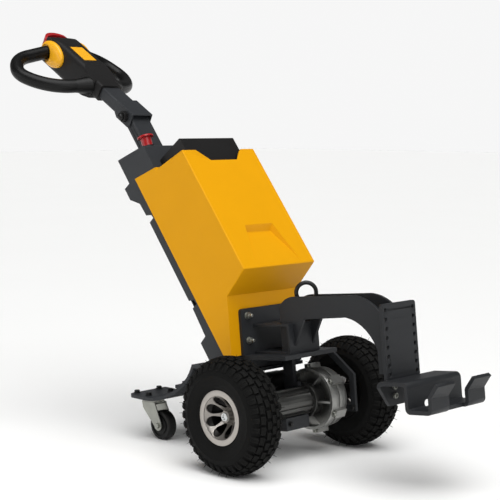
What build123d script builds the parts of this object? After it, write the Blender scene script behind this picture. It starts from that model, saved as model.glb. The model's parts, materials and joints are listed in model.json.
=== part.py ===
# Walk-behind electric tow tractor with a folding tiller
# Millimetres, +Z up from the floor, +X towards the tow hitch, +Y to the left of someone who faces the hitch
import os
from math import acos, asin, cos, degrees, radians, sin

from build123d import *

os.makedirs("parts", exist_ok=True)

# Overall layout: the drive axle is the reference for every other piece
axle_x = 227.72
slant_deg = 37.7
hitch_deg = 6.0
arm_deg = 31.0

# Drive wheels, 4.10/3.50-4 pneumatic tyres on 4 inch rims
tyre_r = 137.5
crown_half = 34.0
shoulder_r = 127.0
bead_half = 38.0
bead_r = 52.0
rim_lip_r = 63.7
tread_h = 4.5
tread_pitches = 34
rim_wall = 4.0
seat_gap = 0.2
spokes = 8
spoke_w = 6.0
hub_r = 19.0
hub_out = 20.0
axle_z = tyre_r

# Transaxle
shaft_r = 10.0
shaft_fit = 0.05
tube_r = 35.0
tube_rib = 4.0
tube_ribs = 10
axle_half = 148.0
wheel_out = 62.0
wheel_y = axle_half + wheel_out
shaft_long = 150.0
flange_r = 42.0
neck_r = 38.0
case_r = 75.0
case_near = 55.0
case_far = 112.0
case_webs = 6
lug_w = 20.0
lug_h = 9.0

# Frame, cover and battery, in slant coordinates (a forward, b up the slant)
frame_half = 121.5
sheet = 2.5
frame_front = 55.5
frame_back = -44.0
frame_notches = (319.0, 574.0)
fold_r = 3.0
cover_half = frame_half + sheet
cover_front = 165.0
cover_top = 633.5
cover_low = 286.3
scoop_top = 406.0
scoop_low = 297.0
scoop_deep = 13.0
battery_half = 92.0
battery_d = 93.0
battery_low = 328.0
battery_top = 682.0
tray_t = 4.0

# Mast and tiller, in tiller coordinates (back along the arm, up from it)
arm_w = 60.0
arm_d = 32.0
arm_h = 1.0
arm_wall = 3.0
mast_w = arm_w
mast_d = 28.0
mast_a = -36.0
mast_low = 560.0
pivot_b = 892.0
pivot_r = 8.0
sleeve_t = 4.0
sleeve_gap = 0.5

# Handle
console_half = 45.0
console_top = 37.0
console_low = -47.0
collar_front = 122.0
body_front = 150.0
body_back = 410.0
grip_r = 18.3
root_r = 24.6
root_long = 46.0
droop_deg = 14.0
grip_h = -5.0
wing_t = 14.0

# Stop button
stop_r = 21.0
stop_h = 41.0

# Rear plate and casters
plate_t = 8.0
plate_half = 146.0
waist_half = 118.0
pad_z = 109.0
floor_up = 69.5
caster_x = -411.0
caster_y = 83.0
caster_trail = 36.0
caster_r = 37.5
caster_w = 26.0
fork_t = 3.0
fork_gap = 4.0
caster_bolts = (45.0, 75.0)
bolt_r = 4.2

# Tow hitch, in hitch coordinates (p forward, q up)
mount_p = -66.0
mount_t = 7.9
mount_half = 91.0
shelf_q = 122.0
shelf_t = 10.0
shelf_front = 70.0
neck_t = 8.0
neck_gap = 54.0
neck_front = 332.0
neck_top = 256.0
tow_w = 118.0
tow_t = 10.0
tow_rows = 10
tow_pitch = 20.5
tow_columns = 97.0
tow_hole_r = 4.5
bracket_half = 97.0
bracket_t = 9.0
hook_gap = 69.0
ring_r = 23.5
ring_wire = 5.0


def unit(deg):
    return Vector(cos(radians(deg)), 0, sin(radians(deg)))


def across(y):
    """Plane at one place across the machine, X to the right and Z up, its origin on the axle."""
    return Plane(origin=(axle_x, y, axle_z), x_dir=(1, 0, 0), z_dir=(0, -1, 0))


side = Plane(origin=(axle_x, 0, 0), x_dir=(1, 0, 0), z_dir=(0, -1, 0))
slant = Plane(origin=(axle_x, 0, axle_z), x_dir=unit(slant_deg), z_dir=(0, -1, 0))
hitch = Plane(origin=(axle_x, 0, axle_z), x_dir=unit(hitch_deg), z_dir=(0, -1, 0))
pivot = slant.from_local_coords((mast_a, pivot_b, 0))
tiller = Plane(origin=pivot, x_dir=unit(180 - arm_deg), z_dir=(0, 1, 0))
deck = Plane(origin=pivot, x_dir=tiller.x_dir, z_dir=tiller.y_dir)
hub_axis = Axis((axle_x, 0, axle_z), (0, 1, 0))


def facing_hitch(p, q):
    """Plane square to the hitch's forward direction, x across to +Y and y up."""
    return Plane(origin=hitch.from_local_coords((p, q, 0)), x_dir=(0, 1, 0), z_dir=hitch.x_dir)


def facing_arm(along, up):
    """Plane square to the tiller arm, x across to +Y and y up from the arm."""
    return Plane(origin=tiller.from_local_coords((along, up, 0)), x_dir=(0, -1, 0), z_dir=tiller.x_dir)


# Back frame: folded sheet box with a tab at each end of its back edge and two notches between them
tab_back = frame_back - 28
with BuildPart() as back_frame:
    with BuildSketch(slant) as frame_outline:
        with BuildLine():
            Polyline(
                (tab_back, 153.6), (tab_back, 226), (frame_back - 4, 231), (frame_back, 308),
                (frame_back, 586), (frame_back - 2, 622), (tab_back + 2, 651), (tab_back + 2, 685),
                (frame_back - 3, 686), (frame_back - 3, 758), (frame_front, 729), (frame_front, 236.6),
                (-3.6, 140.6), (-20.4, 113.9), close=True,
            )
        make_face()
        for b in frame_notches:
            with BuildLine():
                Polyline((frame_back - 20, b - 13), (frame_back + 18, b - 9), (frame_back + 16, b + 3),
                         (frame_back - 20, b + 21), close=True)
            make_face(mode=Mode.SUBTRACT)
        fillet(frame_outline.vertices().sort_by(Axis.X)[-2:], radius=fold_r)
    extrude(amount=frame_half, both=True)
    with BuildSketch(slant):
        with BuildLine():
            Polyline(
                (frame_back + 4, 128), (frame_back + 4, 752), (frame_front - sheet, 725.7),
                (frame_front - sheet, 238), (-23.5, 115), close=True,
            )
        make_face()
    extrude(amount=frame_half - sheet, both=True, mode=Mode.SUBTRACT)
    with BuildSketch(slant):
        with Locations((frame_back - 16, 480)):
            Rectangle(60, 440)
    extrude(amount=frame_half - 30, both=True, mode=Mode.SUBTRACT)
    with BuildSketch(slant):
        with Locations((mast_a - 12, 740)):
            Rectangle(mast_d + 24, 120)
    extrude(amount=mast_w / 2, both=True, mode=Mode.SUBTRACT)
back_frame.part.label = "back_frame"

# Back panel, screwed inside the two lips
with BuildPart() as back_panel:
    with BuildSketch(slant):
        with Locations((frame_back + 5, 412)):
            Rectangle(2, 284)
    extrude(amount=frame_half - sheet, both=True)
back_panel.part.label = "back_panel"


def scoop_wedge(grow):
    """Pressed wedge in the cover's front, deepest at its top, grown by one sheet for its inner face."""
    with BuildPart() as wedge:
        with BuildSketch(slant):
            with BuildLine():
                Polyline(
                    (cover_front + 1, scoop_top + grow), (cover_front, scoop_top + grow),
                    (cover_front - scoop_deep - grow, scoop_top - scoop_deep + grow / 2),
                    (cover_front - grow, scoop_low), (cover_front + 1, scoop_low - 4), close=True,
                )
            make_face()
        extrude(amount=cover_half, both=True)
        with BuildSketch(Plane(origin=slant.from_local_coords((cover_front, 0, 0)), x_dir=(0, 1, 0),
                               z_dir=slant.x_dir)):
            with BuildLine():
                Polyline(
                    (-47 - grow, scoop_top + grow), (47 + grow, scoop_top + grow),
                    (79 + grow, scoop_low - 4), (-79 - grow, scoop_low - 4), close=True,
                )
            make_face()
        extrude(amount=2 * scoop_deep, both=True, taper=30, mode=Mode.INTERSECT)
    return wedge.part


# Front cover: one folded and welded sheet shell, open towards the frame, notched at the top for the battery
with BuildPart() as cover:
    with BuildSketch(slant) as cover_outline:
        with BuildLine():
            Polyline(
                (-20, 680.6), (60, 658), (60, 652), (cover_front, cover_top), (cover_front, cover_low),
                (77.6, 266.4), (1.6, 143.3), (-20, 160), close=True,
            )
        make_face()
        fillet(cover_outline.vertices().sort_by(Axis.X)[-2:], radius=fold_r)
    extrude(amount=cover_half, both=True)
    fold_edges = cover.edges().filter_by(Axis(slant.origin, slant.y_dir))
    fillet(fold_edges.sort_by(Axis(slant.origin, slant.x_dir))[-2:], radius=fold_r)
    with BuildSketch(slant):
        with BuildLine():
            Polyline(
                (-40, 683.5), (58, 655.7), (58, 650), (cover_front - sheet, cover_top - sheet),
                (cover_front - sheet, cover_low + 2), (76, 268.5), (-5, 137), (-40, 165), close=True,
            )
        make_face()
    extrude(amount=frame_half, both=True, mode=Mode.SUBTRACT)
    with BuildSketch(slant):
        with Locations((frame_front + 50, 660)):
            Rectangle(104, 120)
    extrude(amount=battery_half + 3, both=True, mode=Mode.SUBTRACT)
    with BuildSketch(slant):
        with Locations((frame_front - 50, 600)):
            Rectangle(100.4, 400)
    extrude(amount=frame_half, both=True, mode=Mode.SUBTRACT)
    with BuildSketch(Plane(origin=slant.from_local_coords((cover_front - 10, cover_top, 0)), x_dir=(0, 1, 0),
                           z_dir=slant.x_dir)):
        with BuildLine():
            Polyline((-80, 10), (-80, 0), (-45, -33), (45, -33), (67, -8), (80, 0), (80, 10), close=True)
        make_face()
    extrude(amount=30, both=True, mode=Mode.SUBTRACT)
    add(scoop_wedge(sheet))
    add(scoop_wedge(0), mode=Mode.SUBTRACT)
cover.part.label = "cover"

# Battery box, lifts out through the notch in the cover
with BuildPart() as battery:
    with BuildSketch(slant):
        with Locations((frame_front + battery_d / 2, (battery_low + battery_top) / 2)):
            RectangleRounded(battery_d, battery_top - battery_low, 4)
    extrude(amount=battery_half, both=True)
battery.part.label = "battery"

# Battery shelf inside the cover
with BuildPart() as battery_shelf:
    with BuildSketch(slant):
        with Locations((frame_front + 50, battery_low - tray_t / 2)):
            Rectangle(100, tray_t)
    extrude(amount=frame_half - 6, both=True)
battery_shelf.part.label = "battery_shelf"

# Mast tube, round at the pivot, with two spacer blocks to the frame's front wall
mast_front = mast_a + mast_d / 2
with BuildPart() as mast:
    with BuildSketch(slant):
        with Locations((mast_a, (mast_low + pivot_b) / 2)):
            Rectangle(mast_d, pivot_b - mast_low)
        with Locations((mast_a, pivot_b)):
            Circle(mast_d / 2)
            Circle(pivot_r + shaft_fit, mode=Mode.SUBTRACT)
    extrude(amount=mast_w / 2, both=True)
mast.part.label = "mast"

with BuildPart() as mast_foot:
    with BuildSketch(slant):
        for b in (690, 600):
            with Locations(((mast_front + frame_front - sheet) / 2, b)):
                Rectangle(frame_front - sheet - mast_front, 46)
    extrude(amount=mast_w / 2 - 5, both=True)
mast_foot.part.label = "mast_foot"

# Emergency stop on the frame's top plate: dark base, red stem with a mushroom head
top_deg = slant_deg - 15.78
stop_plane = Plane(origin=slant.from_local_coords((16, 740.3, 68.5)), x_dir=unit(top_deg),
                   z_dir=unit(top_deg + 90))
with BuildPart() as stop_base:
    with BuildSketch(stop_plane):
        Circle(stop_r - 4)
    extrude(amount=stop_h * 0.3)
stop_base.part.label = "stop_base"
with BuildPart() as stop_cap:
    with BuildSketch(stop_plane.offset(stop_h * 0.3)):
        Circle(stop_r * 0.65)
    extrude(amount=stop_h * 0.6)
    with BuildSketch(stop_plane.offset(stop_h - 5)):
        Circle(stop_r)
    extrude(amount=5)
    fillet(stop_cap.faces().sort_by(Axis(stop_plane.origin, stop_plane.z_dir))[-1].edges(), radius=3)
stop_cap.part.label = "stop_cap"

# Rear plate: one bent plate from the caster pads up to the chassis floor, the bend a single arc
bend_start = -372.0
bend_end = -226.0
rise = axle_z + floor_up - pad_z
bend_r = ((bend_end - bend_start) ** 2 + rise**2) / (2 * rise)
under_deg = degrees(acos((bend_r - rise) / bend_r))
over_deg = degrees(acos((bend_r - rise - plate_t) / (bend_r - plate_t)))
with BuildPart() as rear_plate:
    with BuildSketch(side):
        with BuildLine():
            under = CenterArc((bend_start, pad_z + bend_r), bend_r, -90, under_deg)
            over = CenterArc((bend_start, pad_z + bend_r), bend_r - plate_t, -90, over_deg)
            Polyline(under @ 0, (-442, pad_z), (-442, pad_z + plate_t), over @ 0)
            Polyline(under @ 1, (-78, pad_z + rise), (-78, pad_z + rise + plate_t), over @ 1)
        make_face()
    extrude(amount=plate_half, both=True)
    with BuildSketch(Plane.XY.move(Location((axle_x, 0, 0)))) as plate_plan:
        with BuildLine():
            Polyline(
                (-442, -plate_half), (-345, -plate_half), (-250, -waist_half), (-70, -waist_half),
                (-70, waist_half), (-250, waist_half), (-345, plate_half), (-442, plate_half),
                (-442, 16), (-400, 16), (-385, 0), (-400, -16), (-442, -16), close=True,
            )
        make_face()
        pad_ends = plate_plan.vertices().group_by(Axis.X)[0].sort_by(Axis.Y)
        fillet([pad_ends[0], pad_ends[-1]], radius=22)
        fillet(plate_plan.vertices().filter_by_position(Axis.Y, -17, 17), radius=5)
    extrude(amount=2 * axle_z, mode=Mode.INTERSECT)
    for s in (1, -1):
        with Locations((axle_x + caster_x, caster_y * s, pad_z)):
            with GridLocations(*caster_bolts, 2, 2):
                Cylinder(bolt_r, 4 * plate_t, mode=Mode.SUBTRACT)
rear_plate.part.label = "rear_plate"

# Mount plate with its shelf, bolted on the front of the chassis
with BuildPart() as mount_plate:
    with BuildSketch(hitch):
        with BuildLine():
            Polyline(
                (mount_p - mount_t, 233), (mount_p, 233), (mount_p, shelf_q), (shelf_front, shelf_q),
                (shelf_front, shelf_q - shelf_t), (mount_p - mount_t, shelf_q - shelf_t), close=True,
            )
        make_face()
    extrude(amount=mount_half, both=True)
    top_corners = mount_plate.edges().filter_by(Axis(hitch.origin, hitch.x_dir))
    fillet(top_corners.group_by(Axis(hitch.origin, hitch.y_dir))[-1], radius=8)
mount_plate.part.label = "mount_plate"

# Cast transaxle: ribbed axle tube, flange, webbed neck, dished gear case with block lugs round its split line
with BuildPart() as gear_case:
    with BuildSketch(Plane(origin=(axle_x, 0, axle_z), x_dir=(0, 1, 0), z_dir=(1, 0, 0))):
        with BuildLine():
            Polyline(
                (-axle_half, 0), (-axle_half, tube_r), (-axle_half + 14, tube_r),
                (-axle_half + 14, tube_r - tube_rib), (34, tube_r - tube_rib), (34, flange_r), (42, flange_r),
                (42, neck_r), (case_near + 14, neck_r), (case_near + 14, case_r - 10),
                (case_near, case_r - 7), (case_near, case_r), (81, case_r), (81, case_r - 2),
                (84, case_r - 2), (84, case_r), (case_far, case_r - 3), (case_far + 4, case_r - 20),
                (case_far + 12, tube_r), (axle_half, tube_r), (axle_half, 0), close=True,
            )
        make_face()
    revolve(axis=hub_axis)
    with BuildSketch(across(-axle_half + 14)):
        with PolarLocations(tube_r - tube_rib, tube_ribs, start_angle=18):
            Rectangle(2 * tube_rib, 8)
    extrude(amount=-axle_half - 26)
    with BuildSketch(Plane(origin=(axle_x, 0, axle_z), x_dir=(0, 1, 0), z_dir=(1, 0, 0))):
        with BuildLine():
            Polyline((40, neck_r - 3), (case_near + 16, neck_r - 3), (case_near + 16, case_r - 5),
                     (case_near + 3, case_r - 5), close=True)
        make_face()
    web = extrude(amount=2.5, both=True, mode=Mode.PRIVATE)
    for i in range(case_webs):
        add(web.rotate(hub_axis, 30 + 360 / case_webs * i))
    with BuildSketch(across(case_near + 9)):
        with PolarLocations(case_r, case_webs, start_angle=40):
            Rectangle(2 * lug_h, lug_w)
    extrude(amount=-36)
    with BuildSketch(across(axle_half)):
        Circle(shaft_r + shaft_fit)
    extrude(amount=2 * axle_half, mode=Mode.SUBTRACT)
gear_case.part.label = "gear_case"

# Drive motor, lying behind the axle, its end plate on the gear case
motor_x = -105.0
motor_r = 44.0
with BuildPart() as motor:
    with BuildSketch(across(60)):
        with Locations((motor_x, 12)):
            Circle(motor_r)
    extrude(amount=150)
    with BuildSketch(across(case_far - 4)):
        with BuildLine():
            Polyline((-60, 40), (motor_x, motor_r + 12), (motor_x - motor_r, 12), (motor_x, 12 - motor_r),
                     (-60, -40), close=True)
        make_face()
    extrude(amount=48)
    with BuildSketch(across(case_far)):
        Circle(case_r + lug_h + 1)
    extrude(amount=60, mode=Mode.SUBTRACT)
motor.part.label = "motor"

# Axle brackets: each hangs a clamp ring on the axle tube from the shelf, the left one by a dog-leg bar
clamp_r = tube_r + 12
shelf_under = shelf_q - shelf_t
left_y = 134.0
left_bar = ((2, shelf_under), (20, shelf_under), (87, 54), (86, -38), (70, -38), (71, 46), (8, 100))
right_y = 32.0
right_bar = ((-46, shelf_under), (-14, shelf_under), (-14, 30), (-46, 30))
with BuildPart() as axle_bracket_left:
    with BuildSketch(hitch.offset(-left_y)):
        with BuildLine():
            Polyline(*left_bar, close=True)
        make_face()
        with Locations((40, -30)):
            Rectangle(90, 16)
        Circle(clamp_r)
        Circle(tube_r, mode=Mode.SUBTRACT)
    extrude(amount=8)
    with BuildSketch(hitch.offset(-left_y)):
        with Locations((0, shelf_under - 4)):
            Rectangle(40, 8)
    extrude(amount=left_y - mount_half + 20)
axle_bracket_left.part.label = "axle_bracket_left"
with BuildPart() as axle_bracket_right:
    with BuildSketch(hitch.offset(-right_y)):
        Circle(clamp_r)
        with Locations((clamp_r, 0)):
            Rectangle(2 * clamp_r, 2 * clamp_r, mode=Mode.SUBTRACT)
        with BuildLine():
            Polyline(*right_bar, close=True)
        make_face()
    extrude(amount=12)
    with BuildSketch(hitch.offset(-20)):
        with Locations((0, -45)):
            Rectangle(56, 30)
    extrude(amount=80)
    with BuildSketch(hitch.offset(-right_y)):
        Circle(tube_r + 0.3)
    extrude(amount=100, mode=Mode.SUBTRACT)
axle_bracket_right.part.label = "axle_bracket_right"

# Gooseneck: two arched plates
with BuildPart() as gooseneck:
    with BuildSketch(hitch):
        with BuildLine():
            Polyline((300, 130), (300, 80), (neck_front, 80), (neck_front, 190))
            ThreePointArc((neck_front, 190), (296, 234.5), (238, neck_top))
            Line((238, neck_top), (60, neck_top))
            ThreePointArc((60, neck_top), (28, 249.5), (8, 233))
            Polyline((8, 233), (8, shelf_q), (40, shelf_q), (85, 202), (212, 206))
            ThreePointArc((212, 206), (268, 178.5), (300, 130))
        make_face()
    extrude(amount=neck_gap / 2 + neck_t, both=True)
    with BuildSketch(hitch):
        with Locations((160, 170)):
            Rectangle(400, 240)
    extrude(amount=neck_gap / 2, both=True, mode=Mode.SUBTRACT)
gooseneck.part.label = "gooseneck"

# Cross channel: box bridge from the mount plate, slotted where the gooseneck plates pass through
channel_front = 50.0
channel_q = 193.0
channel_t = 6.0
channel_half = 52.0
with BuildPart() as cross_channel:
    with BuildSketch(hitch):
        with BuildLine():
            Polyline((mount_p, shelf_q), (channel_front, shelf_q), (channel_front, channel_q),
                     (mount_p, channel_q), close=True)
        make_face()
        with BuildLine():
            Polyline((mount_p - 1, shelf_q + channel_t), (channel_front - channel_t, shelf_q + channel_t),
                     (channel_front - channel_t, channel_q - channel_t), (mount_p - 1, channel_q - channel_t),
                     close=True)
        make_face(mode=Mode.SUBTRACT)
    extrude(amount=channel_half, both=True)
    for s in (1, -1):
        with BuildSketch(hitch.offset(neck_gap / 2 * s)):
            with BuildLine():
                Polyline((8, shelf_q), (40, shelf_q), (85, 202), (8, 202), close=True)
            make_face()
        extrude(amount=neck_t * s, mode=Mode.SUBTRACT)
cross_channel.part.label = "cross_channel"

# Tow plate with its two columns of height holes
tow_low = 24.0
tow_high = 237.0
with BuildPart() as tow_plate:
    with BuildSketch(facing_hitch(neck_front, (tow_low + tow_high) / 2)):
        RectangleRounded(tow_w, tow_high - tow_low, 7)
    extrude(amount=tow_t)
    with BuildSketch(facing_hitch(neck_front, 130.5)):
        with GridLocations(tow_columns, tow_pitch, 2, tow_rows):
            Circle(tow_hole_r)
    extrude(amount=2 * tow_t, both=True, mode=Mode.SUBTRACT)
tow_plate.part.label = "tow_plate"

# Lifting ring, turned 45 degrees, on a block between the gooseneck plates
ring_centre = hitch.from_local_coords((67, neck_top + 7, 0))
with BuildPart() as lifting_ring:
    with BuildSketch(Plane(origin=ring_centre, x_dir=(1, 1, 0), z_dir=(0, 0, 1))):
        with Locations((ring_r, 0)):
            Circle(ring_wire)
    revolve(axis=Axis(ring_centre, (-1, 1, 0)))
    with BuildSketch(Plane(origin=hitch.from_local_coords((67, neck_top - 34, 0)), x_dir=hitch.x_dir,
                           z_dir=hitch.y_dir)):
        Rectangle(30, neck_gap)
    extrude(amount=18)
lifting_ring.part.label = "lifting_ring"

# Tow bracket: one bent strip from the tow plate over a channel to two turned-up hooks
strip = bracket_t / 2
back_p = neck_front + tow_t + strip
web_p = 420.5
hook_p = 482.5
with BuildPart() as tow_bracket:
    with BuildSketch(hitch):
        with BuildLine():
            FilletPolyline((back_p, 15), (back_p, 67.5), (web_p, 67.5), (web_p, 8.5), (hook_p, 8.5),
                           (hook_p, 42), (hook_p + 21, 68), radius=8)
        trace(line_width=bracket_t)
    extrude(amount=bracket_half, both=True)
    with BuildSketch(facing_hitch(hook_p - 12.5, 50)):
        Rectangle(hook_gap, 120)
    extrude(amount=60, mode=Mode.SUBTRACT)
    with BuildSketch(facing_hitch(web_p, 20)):
        SlotOverall(80, 16)
    extrude(amount=bracket_t, both=True, mode=Mode.SUBTRACT)
    for s in (1, -1):
        with BuildSketch(facing_hitch(back_p, 0)):
            with BuildLine():
                Polyline((bracket_half * s, 58), (bracket_half * s, 0), (66 * s, 0), (66 * s, 14), close=True)
            make_face()
        extrude(amount=strip + 4, both=True, mode=Mode.SUBTRACT)
tow_bracket.part.label = "tow_bracket"

# Drive wheel, right hand side, then mirrored
# Tread rows: place across from the middle, width, block length; a row with no length is a rib all round
tread_rows = ((0.0, 12.0, 19.0), (14.0, 11.5, 0.0), (28.5, 13.0, 20.0))
crown_drop = tyre_r - shoulder_r
crown_arc_r = (crown_half**2 + crown_drop**2) / (2 * crown_drop)
floor_r = shoulder_r - tread_h
block_deep = tread_h + 2
wheel_section = Plane(origin=(axle_x, -wheel_y, axle_z), x_dir=(0, 1, 0), z_dir=(1, 0, 0))
with BuildPart() as tyre_right:
    with BuildSketch(wheel_section):
        with BuildLine():
            ThreePointArc((-crown_half, floor_r), (0, tyre_r - tread_h), (crown_half, floor_r))
            for s in (1, -1):
                ThreePointArc((crown_half * s, floor_r), ((crown_half + 8) * s, shoulder_r - 11),
                              ((crown_half + 13) * s, shoulder_r - 23))
                ThreePointArc(((crown_half + 13) * s, shoulder_r - 23),
                              ((crown_half + 13.5) * s, shoulder_r - 40), (bead_half * s, rim_lip_r + 2.5))
                Polyline((bead_half * s, rim_lip_r + 2.5), (bead_half * s, bead_r),
                         ((bead_half - 8) * s, bead_r), ((crown_half + 4) * s, shoulder_r - 42),
                         ((crown_half - 4) * s, shoulder_r - 11))
            Line((crown_half - 4, shoulder_r - 11), (4 - crown_half, shoulder_r - 11))
        make_face()
    revolve(axis=hub_axis)
    for place, width, long in tread_rows:
        lean = asin(place / crown_arc_r)
        top = tyre_r - crown_arc_r + crown_arc_r * cos(lean)
        for s in (1, -1) if place else (1,):
            row = Plane(origin=(axle_x, place * s - wheel_y, axle_z + top), x_dir=(1, 0, 0),
                        z_dir=(0, sin(lean) * s, cos(lean)))
            if long:
                with BuildSketch(row):
                    Rectangle(long, width)
                block = extrude(amount=-block_deep, mode=Mode.PRIVATE)
                add([block.rotate(hub_axis, 360 / tread_pitches * i) for i in range(tread_pitches)])
            else:
                with BuildSketch(Plane(origin=row.origin, x_dir=row.y_dir, z_dir=row.x_dir)):
                    Rectangle(width, block_deep, align=(Align.CENTER, Align.MAX))
                revolve(axis=hub_axis)
tyre_right.part.label = "tyre_right"

# Dished spokes: a cone with one petal cut between each two spokes
lip = bead_half + 2
well_r = bead_r - 8
petal_in = hub_r + 4
petal_out = bead_r - 7
with BuildSketch() as petal:
    with BuildLine():
        half_in = 180 / spokes - degrees(asin(spoke_w / 2 / petal_in))
        half_out = 180 / spokes - degrees(asin(spoke_w / 2 / petal_out))
        corner_in = (petal_in * cos(radians(half_in)), petal_in * sin(radians(half_in)))
        corner_out = (petal_out * cos(radians(half_out)), petal_out * sin(radians(half_out)))
        Polyline(corner_in, corner_out, (corner_out[0], -corner_out[1]), (corner_in[0], -corner_in[1]),
                 close=True)
    make_face()
    fillet(petal.vertices().group_by(Axis.X)[0], radius=3.5)
    fillet(petal.vertices().group_by(Axis.X)[-1], radius=8)
with BuildPart() as spider:
    with BuildSketch(wheel_section):
        with BuildLine():
            Polyline((-lip + 1, bead_r - 4), (-lip + 10, bead_r - 5), (4, hub_r - 1), (-5, hub_r - 1),
                     close=True)
        make_face()
    revolve(axis=hub_axis)
    with BuildSketch(across(-wheel_y - lip)):
        with PolarLocations(0, spokes):
            add(petal.sketch)
    extrude(amount=-2 * lip, mode=Mode.SUBTRACT)
with BuildPart() as rim_right:
    with BuildSketch(wheel_section):
        with BuildLine():
            Polyline(
                (-bead_half - seat_gap, rim_lip_r), (-lip, rim_lip_r), (-lip, bead_r - 3),
                (8 - lip, bead_r - 6), (16 - lip, well_r - rim_wall), (lip - 4, well_r - rim_wall),
                (lip, bead_r - 6), (lip, rim_lip_r), (bead_half + seat_gap, rim_lip_r),
                (bead_half + seat_gap, bead_r - seat_gap),
                (bead_half - 8.2, bead_r - seat_gap), (24, well_r), (-24, well_r),
                (8.2 - bead_half, bead_r - seat_gap), (-bead_half - seat_gap, bead_r - seat_gap), close=True,
            )
        make_face()
    revolve(axis=hub_axis)
    add(spider.part)
    with BuildSketch(wheel_section):
        with BuildLine():
            Polyline((-hub_out, shaft_r), (-hub_out, shaft_r + 3), (-hub_out + 4, shaft_r + 4),
                     (-8, hub_r - 3), (-5, hub_r), (lip, hub_r), (lip, shaft_r), close=True)
        make_face()
    revolve(axis=hub_axis)
rim_right.part.label = "rim_right"

with BuildPart() as shaft_right:
    with BuildSketch(across(-wheel_y - hub_out)):
        Circle(shaft_r)
    extrude(amount=-shaft_long)
shaft_right.part.label = "shaft_right"

with BuildPart() as tyre_left:
    mirror(tyre_right.part, about=Plane.XZ)
tyre_left.part.label = "tyre_left"
with BuildPart() as rim_left:
    mirror(rim_right.part, about=Plane.XZ)
rim_left.part.label = "rim_left"
with BuildPart() as shaft_left:
    mirror(shaft_right.part, about=Plane.XZ)
shaft_left.part.label = "shaft_left"

# Casters, right hand side, then mirrored
cx = axle_x + caster_x
caster_side = Plane(origin=(cx, -caster_y, 0), x_dir=(1, 0, 0), z_dir=(0, -1, 0))
crown_z = pad_z - 16
with BuildPart() as caster_plate_right:
    with Locations((cx, -caster_y, pad_z - 1.5)):
        Box(caster_bolts[0] + 20, caster_bolts[1] + 20, 3)
        with GridLocations(*caster_bolts, 2, 2):
            Cylinder(bolt_r, 10, mode=Mode.SUBTRACT)
    with Locations((cx, -caster_y, pad_z - 8)):
        Cylinder(26, 10)
        Cylinder(6 + shaft_fit, 40, mode=Mode.SUBTRACT)
caster_plate_right.part.label = "caster_plate_right"

with BuildPart() as caster_fork_right:
    with Locations((cx, -caster_y, crown_z + 1.2)):
        Cylinder(27, 2.6)
    with Locations((cx, -caster_y, pad_z - 10.5)):
        Cylinder(6, 10)
    with BuildSketch(caster_side):
        with BuildLine():
            Polyline((-24, crown_z + 1), (24, crown_z + 1), (caster_trail + 12, caster_r + 8),
                     (caster_trail - 10, caster_r - 6), (-20, crown_z - 16), close=True)
        make_face()
        with Locations((caster_trail, caster_r)):
            Circle(13)
    extrude(amount=caster_w / 2 + fork_gap + fork_t, both=True)
    with BuildSketch(caster_side):
        with Locations((20, 40)):
            Rectangle(140, 2 * (crown_z - 43))
    extrude(amount=caster_w / 2 + fork_gap, both=True, mode=Mode.SUBTRACT)
    with BuildSketch(caster_side):
        with Locations((caster_trail, caster_r)):
            Circle(4)
    extrude(amount=caster_w / 2 + fork_gap + fork_t + 2, both=True)
    with BuildSketch(caster_side.offset(caster_w / 2 + fork_gap + fork_t - 0.5)):
        with Locations((caster_trail, caster_r)):
            RegularPolygon(7, 6)
    extrude(amount=5.5)
caster_fork_right.part.label = "caster_fork_right"

with BuildPart() as caster_wheel_right:
    with BuildSketch(caster_side):
        with Locations((caster_trail, caster_r)):
            Circle(caster_r)
            Circle(4 + shaft_fit, mode=Mode.SUBTRACT)
    extrude(amount=caster_w / 2, both=True)
    fillet(caster_wheel_right.edges().filter_by(GeomType.CIRCLE).sort_by(SortBy.RADIUS)[-2:], radius=5)
    for s in (1, -1):
        with BuildSketch(caster_side.offset(caster_w / 2 * s)):
            with Locations((caster_trail, caster_r)):
                Circle(caster_r - 9)
                Circle(caster_r - 15, mode=Mode.SUBTRACT)
        extrude(amount=-2.5 * s, mode=Mode.SUBTRACT)
caster_wheel_right.part.label = "caster_wheel_right"

with BuildPart() as caster_plate_left:
    mirror(caster_plate_right.part, about=Plane.XZ)
caster_plate_left.part.label = "caster_plate_left"
with BuildPart() as caster_fork_left:
    mirror(caster_fork_right.part, about=Plane.XZ)
caster_fork_left.part.label = "caster_fork_left"
with BuildPart() as caster_wheel_left:
    mirror(caster_wheel_right.part, about=Plane.XZ)
caster_wheel_left.part.label = "caster_wheel_left"

# Tiller: U-shaped folding sleeve, arm tube, pivot bolt with its clamp knob
arm_top = arm_h + arm_d / 2
sleeve_half = arm_w / 2 + sleeve_gap + sleeve_t
with BuildPart() as tiller_sleeve:
    with BuildSketch(tiller):
        with BuildLine():
            Polyline((-22, -20.5), (30, -20.5), (42, -13), (50, arm_top + sleeve_t),
                     (-25, arm_top + sleeve_t), (-28, -10), close=True)
        make_face()
    extrude(amount=sleeve_half, both=True)
    with BuildSketch(tiller):
        with Locations((10, arm_top - 30)):
            Rectangle(140, 60)
    extrude(amount=arm_w / 2 + sleeve_gap, both=True, mode=Mode.SUBTRACT)
    with BuildSketch(tiller):
        Circle(pivot_r)
    extrude(amount=2 * arm_w, both=True, mode=Mode.SUBTRACT)
tiller_sleeve.part.label = "tiller_sleeve"

arm_start = 22.0
arm_end = 160.0
with BuildPart() as tiller_arm:
    with BuildSketch(facing_arm(arm_start, arm_h)):
        RectangleRounded(arm_w + 2 * sleeve_gap, arm_d, 5)
        RectangleRounded(arm_w + 2 * sleeve_gap - 2 * arm_wall, arm_d - 2 * arm_wall, 2, mode=Mode.SUBTRACT)
    extrude(amount=arm_end - arm_start)
tiller_arm.part.label = "tiller_arm"

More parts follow.
